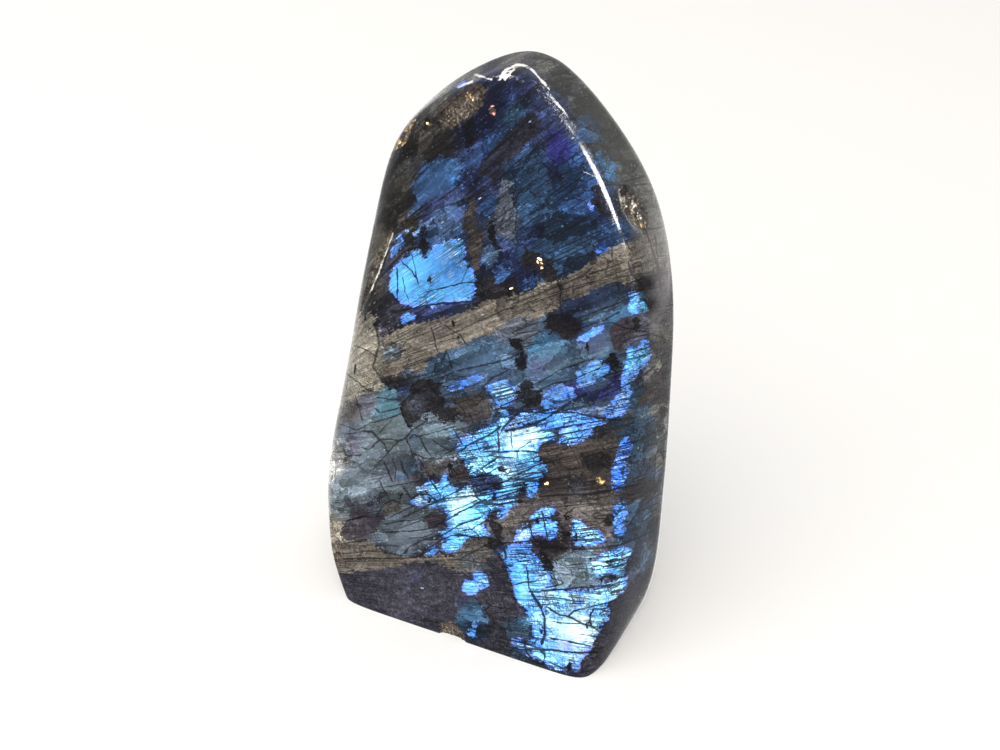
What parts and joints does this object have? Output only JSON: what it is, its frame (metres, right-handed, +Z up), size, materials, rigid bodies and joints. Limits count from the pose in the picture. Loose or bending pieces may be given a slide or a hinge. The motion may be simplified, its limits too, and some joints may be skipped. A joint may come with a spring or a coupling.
{
  "type": "polished labradorite freeform",
  "caption": "Free-standing polished labradorite slab with soft-edged ground faces, a rounded peak and a flat sawn base.",
  "frame": {"origin": "on the sawn base, under the middle of the stone's box", "axes": "-Y out of the broad face that shows the blue flash, +X to that face's right, +Z up to the peak"},
  "size_m": [0.0674, 0.0416, 0.1162],
  "materials": {
    "labradorite": "high polish over dark feldspar with blue flash"
  },
  "bodies": {
    "root": {"stone": "labradorite"}
  },
  "joints": []
}
